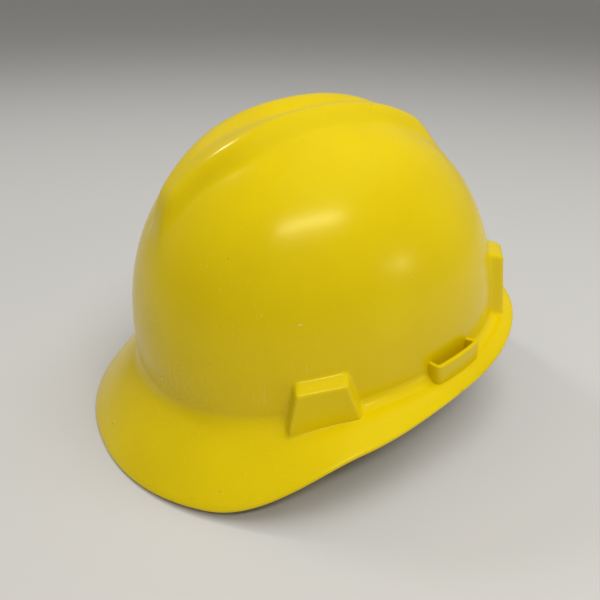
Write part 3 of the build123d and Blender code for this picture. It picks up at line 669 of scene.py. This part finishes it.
# ------------------------------------------------------------------ the ratchet's hand knob
def build_knob():
    """Lobed knob with a skirt, two grip lines round it, and a dished top over the screw."""
    # radius, distance out along the axle, and how fully the lobes cut it
    profile = [(3.6, KNOB_BASE + 0.1, 0), (16.6, KNOB_BASE + 0.1, 0), (17.3, KNOB_BASE + 0.5, 0),
               (17.4, KNOB_BASE + 1.3, 0), (16.8, KNOB_BASE + 1.7, 0.2), (16.2, KNOB_BASE + 2.0, 0.7),
               (16.2, KNOB_BASE + 4.4, 1), (15.7, KNOB_BASE + 4.7, 1), (15.7, KNOB_BASE + 5.3, 1),
               (16.3, KNOB_BASE + 5.6, 1), (16.4, KNOB_BASE + 10.4, 1), (15.8, KNOB_BASE + 10.7, 1),
               (15.8, KNOB_BASE + 11.3, 1), (16.3, KNOB_BASE + 11.6, 1), (16.2, KNOB_BASE + 14.2, 1),
               (15.6, KNOB_BASE + 15.3, 1), (14.4, KNOB_TOP - 0.1, 0.9), (12.2, KNOB_TOP - 0.2, 0.4),
               (9.6, KNOB_TOP - 1.1, 0), (7.2, KNOB_TOP - 1.6, 0), (6.4, KNOB_TOP - 1.7, 0),
               (6.1, KNOB_TOP - 2.0, 0), (6.05, KNOB_TOP - 4.0, 0), (4.3, KNOB_TOP - 4.02, 0)]
    count = 240
    rings = []
    for j in range(count):
        a = 2 * math.pi * j / count
        wave = 0.5 + 0.5 * math.cos(KNOB_LOBES * a)
        cut = KNOB_LOBE_DEPTH * (1 - wave) ** 1.6
        ring = []
        for radius, w, lobed in profile:
            r = radius - cut * lobed
            ring.append((r * math.sin(a), w, r * math.cos(a)))
        rings.append(nape_to_row(ring))
    rings.append(rings[0])
    return loft("hand_knob", rings, closed=False, caps=False)


# ------------------------------------------------------------------ materials
def material(name, colour, roughness, specular=0.5):
    mat = bpy.data.materials.new(name)
    mat.use_nodes = True
    shader = mat.node_tree.nodes["Principled BSDF"]
    shader.inputs["Base Color"].default_value = (*colour, 1)
    shader.inputs["Roughness"].default_value = roughness
    shader.inputs["Specular IOR Level"].default_value = specular
    return mat, mat.node_tree, shader


class Nodes:
    """Short ways to add shader nodes to one material."""

    def __init__(self, tree):
        self.tree = tree
        self.place = self.add("ShaderNodeTexCoord").outputs["Object"]

    def add(self, kind, **settings):
        node = self.tree.nodes.new(kind)
        for key, value in settings.items():
            setattr(node, key, value)
        return node

    def link(self, source, socket):
        self.tree.links.new(source, socket)

    def feed(self, value, socket):
        if isinstance(value, (int, float, tuple)):
            socket.default_value = value
        else:
            self.link(value, socket)

    def math(self, operation, a, b=0.0, c=0.0, clamp=False):
        node = self.add("ShaderNodeMath", operation=operation, use_clamp=clamp)
        for value, socket in zip((a, b, c), node.inputs):
            self.feed(value, socket)
        return node.outputs[0]

    def noise(self, scale, detail=3.0, rough=0.5, place=None):
        node = self.add("ShaderNodeTexNoise")
        node.inputs["Scale"].default_value = scale
        node.inputs["Detail"].default_value = detail
        node.inputs["Roughness"].default_value = rough
        self.link(place or self.place, node.inputs["Vector"])
        return node.outputs["Fac"]

    def stretched(self, turn, scale):
        node = self.add("ShaderNodeMapping")
        node.inputs["Rotation"].default_value = turn
        node.inputs["Scale"].default_value = scale
        self.link(self.place, node.inputs["Vector"])
        return node.outputs["Vector"]

    def span(self, value, low, high, to_low=0.0, to_high=1.0):
        node = self.add("ShaderNodeMapRange", clamp=True)
        names = ("Value", "From Min", "From Max", "To Min", "To Max")
        for v, name in zip((value, low, high, to_low, to_high), names):
            self.feed(v, node.inputs[name])
        return node.outputs["Result"]

    def mix(self, share, a, b):
        node = self.add("ShaderNodeMix", data_type="RGBA")
        self.feed(share, node.inputs["Factor"])
        for value, socket in ((a, node.inputs[6]), (b, node.inputs[7])):
            self.feed((*value, 1) if isinstance(value, tuple) and len(value) == 3 else value, socket)
        return node.outputs[2]

    def bump(self, height, strength, distance):
        node = self.add("ShaderNodeBump")
        node.inputs["Strength"].default_value = strength
        node.inputs["Distance"].default_value = distance
        self.link(height, node.inputs["Height"])
        return node.outputs["Normal"]


def near_segment(nodes, start_mm, end_mm, half_width_mm):
    """1 on a thin line between two places on the hat, fading to 0 beside it."""
    a, b = (Vector(to_row([p])[0]) for p in (start_mm, end_mm))
    run = b - a
    offset = nodes.add("ShaderNodeVectorMath", operation="SUBTRACT")
    nodes.link(nodes.place, offset.inputs[0])
    offset.inputs[1].default_value = a
    dot = nodes.add("ShaderNodeVectorMath", operation="DOT_PRODUCT")
    nodes.link(offset.outputs["Vector"], dot.inputs[0])
    dot.inputs[1].default_value = run / run.length_squared
    along = nodes.math("MULTIPLY", dot.outputs["Value"], 1.0, clamp=True)
    foot = nodes.add("ShaderNodeVectorMath", operation="SCALE")
    foot.inputs[0].default_value = run
    nodes.link(along, foot.inputs["Scale"])
    gap = nodes.add("ShaderNodeVectorMath", operation="DISTANCE")
    nodes.link(offset.outputs["Vector"], gap.inputs[0])
    nodes.link(foot.outputs["Vector"], gap.inputs[1])
    return nodes.span(gap.outputs["Value"], half_width_mm * MM, 0.35 * half_width_mm * MM)


def shell_material():
    """Semi-gloss yellow polyethylene: faint mottle, hairline scratches, scuffs, specks and a worn edge."""
    mat, tree, shader = material("yellow_polyethylene", (0.78, 0.585, 0.0), 0.28, 0.46)
    shader.inputs["Specular Tint"].default_value = (1.0, 0.95, 0.45, 1)
    n = Nodes(tree)
    mottle = n.noise(14.0, 4.0)
    colour = n.mix(n.span(mottle, 0.35, 0.65), (0.745, 0.552, 0.0), (0.805, 0.605, 0.0))
    # hairline scratches: thin bands of stretched noise at several angles, broken up by a slow noise
    hair = None
    for turn, seed in ((0.3, 11.0), (1.1, 37.0), (-0.7, 53.0)):
        stretched = n.stretched((turn, turn * 0.6, turn + seed), (900.0, 900.0, 26.0))
        line = n.span(n.noise(1.0, 1.0, 0.4, stretched), 0.745, 0.775)
        hair = line if hair is None else n.math("MAXIMUM", hair, line)
    hair = n.math("MULTIPLY", hair, n.span(n.noise(22.0, 2.0), 0.5, 0.62))
    # scuffs: patches of fine rubbed marks
    rub = n.math("MULTIPLY", n.span(n.noise(420.0, 4.0, 0.7), 0.52, 0.68),
                 n.span(n.noise(9.0, 3.0, 0.6), 0.56, 0.72))
    # specks of dirt
    specks = n.add("ShaderNodeTexVoronoi", feature="F1")
    specks.inputs["Scale"].default_value = 85.0
    n.link(n.place, specks.inputs["Vector"])
    speck = n.math("MULTIPLY", n.span(specks.outputs["Distance"], 0.052, 0.03),
                   n.span(specks.outputs["Color"], 0.72, 0.74))
    # one long dark scratch across a ridge, and two short pale ones
    long_mark = near_segment(n, (1.9, -36.0, 131.5), (17.3, -45.2, 131.5), 0.7)
    pale = near_segment(n, (81.6, -56.5, 56.0), (82.6, -50.5, 53.5), 0.45)
    pale = n.math("MAXIMUM", pale, near_segment(n, (22.0, -76.0, 108.0), (25.5, -70.5, 112.0), 0.5))
    colour = n.mix(n.math("MULTIPLY", hair, 0.22), colour, (0.86, 0.76, 0.20))
    colour = n.mix(n.math("MULTIPLY", rub, 0.30), colour, (0.50, 0.36, 0.01))
    colour = n.mix(n.math("MULTIPLY", speck, 0.75), colour, (0.10, 0.075, 0.01))
    colour = n.mix(n.math("MULTIPLY", long_mark, 0.72), colour, (0.13, 0.10, 0.01))
    colour = n.mix(n.math("MULTIPLY", pale, 0.7), colour, (0.93, 0.86, 0.38))
    # the brim's edge has small dirty nicks
    edge = n.add("ShaderNodeVertexColor", layer_name="edge").outputs["Color"]
    nick = n.math("MULTIPLY", edge, n.span(n.noise(230.0, 3.0, 0.6), 0.64, 0.72))
    colour = n.mix(n.math("MULTIPLY", nick, 0.45), colour, (0.26, 0.19, 0.01))
    n.link(colour, shader.inputs["Base Color"])
    gloss = n.span(n.noise(6.0, 3.0), 0.3, 0.7, 0.21, 0.28)
    gloss = n.math("ADD", gloss, n.math("MULTIPLY", n.math("MAXIMUM", rub, hair), 0.2))
    n.link(gloss, shader.inputs["Roughness"])
    height = n.math("ADD", n.math("MULTIPLY", n.noise(160.0, 3.0), 0.5),
                    n.math("MULTIPLY", n.noise(900.0, 2.0), 0.10))
    height = n.math("SUBTRACT", height, n.math("MULTIPLY", n.math("MAXIMUM", hair, nick), 0.5))
    n.link(n.bump(height, 0.10, 0.0006), shader.inputs["Normal"])
    return mat


def plastic_material(name, colour, roughness, grain=700.0, depth=0.12):
    """Moulded nylon or acetal: fine spark-eroded grain and slow changes of gloss and tone."""
    mat, tree, shader = material(name, colour, roughness, 0.45)
    n = Nodes(tree)
    tone = n.span(n.noise(45.0, 3.0), 0.3, 0.7)
    lighter = tuple(min(c * 1.5 + 0.002, 1) for c in colour)
    n.link(n.mix(tone, colour, lighter), shader.inputs["Base Color"])
    gloss = n.span(n.noise(90.0, 4.0, 0.6), 0.3, 0.7, roughness - 0.06, roughness + 0.10)
    n.link(gloss, shader.inputs["Roughness"])
    n.link(n.bump(n.noise(grain, 3.0, 0.6), depth, 0.0005), shader.inputs["Normal"])
    return mat


def webbing_material():
    """Woven black polyester: a basket of raised yarns along and across the strap, with painted shade in the
    hollows between the yarns.
    """
    mat, tree, shader = material("woven_webbing", (0.018, 0.018, 0.019), 0.75, 0.25)
    n = Nodes(tree)
    place = n.add("ShaderNodeUVMap", uv_map="along")
    split = n.add("ShaderNodeSeparateXYZ")
    n.link(place.outputs["UV"], split.inputs[0])
    yarns = n.math("SINE", n.math("MULTIPLY", split.outputs["Y"], 2 * math.pi / 1.15))
    picks = n.math("SINE", n.math("ADD", n.math("MULTIPLY", split.outputs["X"], 2 * math.pi / 1.3),
                                  n.math("MULTIPLY", n.math("SIGN", yarns), 1.57)))
    weave = n.math("ADD", n.math("MULTIPLY", n.math("ABSOLUTE", yarns), 0.6), n.math("MULTIPLY", picks, 0.4))
    height = n.math("ADD", weave, n.math("MULTIPLY", n.noise(2600.0, 2.0, 0.6), 0.5))
    n.link(n.bump(height, 0.9, 0.0003), shader.inputs["Normal"])
    # painted shade: the weave's hollows are painted darker and its raised yarns lighter, following the bump's
    # height
    colour = n.mix(n.span(height, 0.0, 1.3), (0.006, 0.006, 0.007), (0.045, 0.045, 0.048))
    n.link(colour, shader.inputs["Base Color"])
    shader.inputs["Sheen Weight"].default_value = 0.15
    return mat


def foam_material():
    """Knit-covered foam: soft dark grey with a fine knit, painted shade between its loops, paler where it is
    worn.
    """
    mat, tree, shader = material("knit_covered_foam", (0.05, 0.05, 0.052), 0.9, 0.15)
    n = Nodes(tree)
    knit = n.add("ShaderNodeTexVoronoi", feature="F1")
    knit.inputs["Scale"].default_value = 900.0
    n.link(n.place, knit.inputs["Vector"])
    loops = knit.outputs["Distance"]
    worn = n.span(n.noise(30.0, 3.0), 0.35, 0.7)
    # painted shade: darker in the gaps between the knit's loops, where the bump also sinks, and lighter on the
    # loops
    colour = n.mix(n.span(loops, 0.15, 0.75), (0.062, 0.062, 0.065), (0.022, 0.022, 0.024))
    colour = n.mix(n.math("MULTIPLY", worn, 0.4), colour, (0.085, 0.082, 0.078))
    n.link(colour, shader.inputs["Base Color"])
    height = n.math("SUBTRACT", n.math("MULTIPLY", n.noise(300.0, 3.0), 0.4), n.math("MULTIPLY", loops, 0.9))
    n.link(n.bump(height, 0.8, 0.0004), shader.inputs["Normal"])
    shader.inputs["Sheen Weight"].default_value = 0.25
    return mat


def thread_material():
    """Grey polyester sewing thread."""
    mat, tree, shader = material("grey_thread", (0.16, 0.16, 0.155), 0.7, 0.25)
    n = Nodes(tree)
    n.link(n.mix(n.span(n.noise(1500.0, 2.0), 0.3, 0.7), (0.11, 0.11, 0.105), (0.22, 0.22, 0.21)),
           shader.inputs["Base Color"])
    n.link(n.bump(n.noise(2500.0, 2.0), 0.5, 0.0001), shader.inputs["Normal"])
    return mat


def steel_material():
    """Zinc-plated steel."""
    mat, tree, shader = material("plated_steel", (0.56, 0.57, 0.58), 0.32)
    n = Nodes(tree)
    shader.inputs["Metallic"].default_value = 1.0
    n.link(n.span(n.noise(500.0, 4.0, 0.6), 0.3, 0.7, 0.24, 0.42), shader.inputs["Roughness"])
    colour = n.mix(n.span(n.noise(120.0), 0.3, 0.7), (0.50, 0.51, 0.52), (0.62, 0.62, 0.61))
    n.link(colour, shader.inputs["Base Color"])
    n.link(n.bump(n.noise(900.0, 2.0), 0.15, 0.0002), shader.inputs["Normal"])
    return mat


finish = {
    "shell": shell_material(),
    "black_plastic": plastic_material("black_nylon", (0.011, 0.011, 0.0105), 0.44),
    "knob_plastic": plastic_material("knob_nylon", (0.009, 0.009, 0.0085), 0.38, 900.0, 0.18),
    "grey_plastic": plastic_material("dark_grey_polyethylene", (0.035, 0.034, 0.028), 0.5),
    "webbing": webbing_material(),
    "thread": thread_material(),
    "pad_foam": foam_material(),
    "steel": steel_material(),
}


def dress(obj, slot_name, body="hat", stands_for=()):
    """Gives a piece its finish and its body, and says which CAD nodes it stands for."""
    obj.data.materials.clear()
    obj.data.materials.append(finish[slot_name])
    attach(obj, body)
    if stands_for:
        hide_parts(*stands_for)


shell = build_shell()
dress(shell, "shell", stands_for=["shell"])
for side in (1, -1):
    dress(build_loop(side), "shell", stands_for=["shell"])

front, rear = ANCHOR_ANGLES
over, over_line = build_strap("webbing_over", front, -rear, STRAP_TOP_Z)
under, under_line = build_strap("webbing_under", -front, rear, STRAP_TOP_Z - STRAP_THICK - STRAP_GAP)
dress(over, "webbing", stands_for=["crown_strap_over"])
dress(under, "webbing", stands_for=["crown_strap_under"])
dress(build_stitches("box_stitching", (over_line, under_line)), "thread", stands_for=["strap_stitches"])

for pad, node in ((build_brow_pad(), "brow_pad"), (build_nape_pad(), "nape_pad"),
                  (build_crown_pad(over_line(90.0)[0][1]), "crown_pad")):
    dress(pad, "pad_foam", stands_for=[node])

dress(build_knob(), "knob_plastic", "knob", ["ratchet_knob"])

slots = {part["node"]: part["material_slot"] for part in frame["record"]["subparts"]}
for name, node in frame["nodes"].items():
    node.data.materials.clear()
    node.data.materials.append(finish[slots[name]])


# ------------------------------------------------------------------ floor, light and camera
def build_stage():
    """The floor and the even light from all round."""
    paper = material("pale_paper", (0.62, 0.61, 0.59), 0.8, 0.2)[0]
    bpy.ops.mesh.primitive_plane_add(size=60, location=(0, 0, 0))
    floor = bpy.context.object
    floor.name = "floor"
    floor.data.materials.append(paper)
    world = bpy.data.worlds.new("studio")
    bpy.context.scene.world = world
    world.use_nodes = True
    world.node_tree.nodes["Background"].inputs["Color"].default_value = (0.80, 0.79, 0.76, 1)
    world.node_tree.nodes["Background"].inputs["Strength"].default_value = 0.36


def softbox(name, place, target, size, power, colour=(1, 1, 1)):
    """A rectangular lamp at a place, in metres, facing a target."""
    light = bpy.data.lights.new(name, "AREA")
    light.shape = "RECTANGLE"
    light.size, light.size_y = size
    light.energy = power
    light.color = colour
    obj = bpy.data.objects.new(name, light)
    obj.location = place
    obj.rotation_mode = "QUATERNION"
    obj.rotation_quaternion = (Vector(target) - Vector(place)).to_track_quat("-Z", "Y")
    bpy.context.scene.collection.objects.link(obj)
    return obj


CAMERA_AZIMUTH = 62.0        # from the front towards the wearer's left, in the hat's frame
CAMERA_ELEVATION = 32.1
CAMERA_ROLL = -4.5
CAMERA_DISTANCE = 418.6      # millimetres from where the crown axis meets the brim line
FOCAL_SHARE = 615 / 600      # focal length over frame width
AIM_RIGHT, AIM_DOWN = 17 / 615, 12.7 / 615   # how far off the frame's centre it lies, over the focal length


def build_camera():
    a, e, roll = (math.radians(v) for v in (CAMERA_AZIMUTH, CAMERA_ELEVATION, CAMERA_ROLL))
    back = Vector((math.sin(a) * math.cos(e), -math.cos(a) * math.cos(e), math.sin(e)))
    right = Vector((math.cos(a), math.sin(a), 0))
    up = back.cross(right)
    right, up = math.cos(roll) * right + math.sin(roll) * up, math.cos(roll) * up - math.sin(roll) * right
    place = back * CAMERA_DISTANCE * MM
    back = (back + AIM_RIGHT * right - AIM_DOWN * up).normalized()
    right = (right - right.dot(back) * back).normalized()
    up = back.cross(right)
    turn = Matrix((right, up, back)).transposed().to_4x4()
    data = bpy.data.cameras.new("camera")
    data.sensor_width = 36
    data.lens = 36 * FOCAL_SHARE
    data.clip_start = 0.01
    camera = bpy.data.objects.new("camera", data)
    camera.matrix_world = HAT @ Matrix.Translation(place) @ turn
    bpy.context.scene.collection.objects.link(camera)
    bpy.context.scene.camera = camera


build_stage()
# The ceiling lamp gives the soft shadows and no highlight; the others each place one highlight on the shell.
ceiling = softbox("ceiling", (0.35, 0.35, 1.7), (0, 0, 0.1), (1.4, 1.4), 18)
ceiling.visible_glossy = False
softbox("strip", (0.86, -0.16, 1.06), (0.02, 0, 0.1), (0.80, 0.08), 4.4, (1.0, 0.97, 0.92))
softbox("ridge", (-0.9, -0.44, 1.25), (0, 0, 0.15), (0.26, 0.18), 3.2)
softbox("glint", (0.95, 0.6, 0.32), (0.08, 0, 0.12), (0.035, 0.025), 0.3)
build_camera()
bpy.context.scene.view_settings.view_transform = "Standard"
